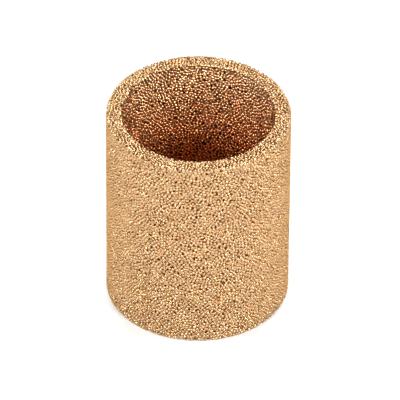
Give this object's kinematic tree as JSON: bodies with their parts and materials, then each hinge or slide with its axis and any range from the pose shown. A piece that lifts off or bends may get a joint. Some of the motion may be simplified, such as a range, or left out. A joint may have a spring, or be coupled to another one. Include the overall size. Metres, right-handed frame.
{
  "type": "pneumatic muffler element",
  "caption": "Press-in pneumatic muffler: a plain thimble of coarse sintered bronze granules, open at the mouth and closed at the far end.",
  "frame": {"origin": "centre of the closed end's flat outer face, on which the part stands", "axes": "+Z along the axis of revolution, from the closed end to the open mouth; X and Y are any two directions across it"},
  "size_m": [0.03, 0.03, 0.0358],
  "materials": {
    "sintered_bronze": "sintered granules, satin, golden tan"
  },
  "bodies": {
    "root": {"sintered_cup": "sintered_bronze"}
  },
  "joints": []
}
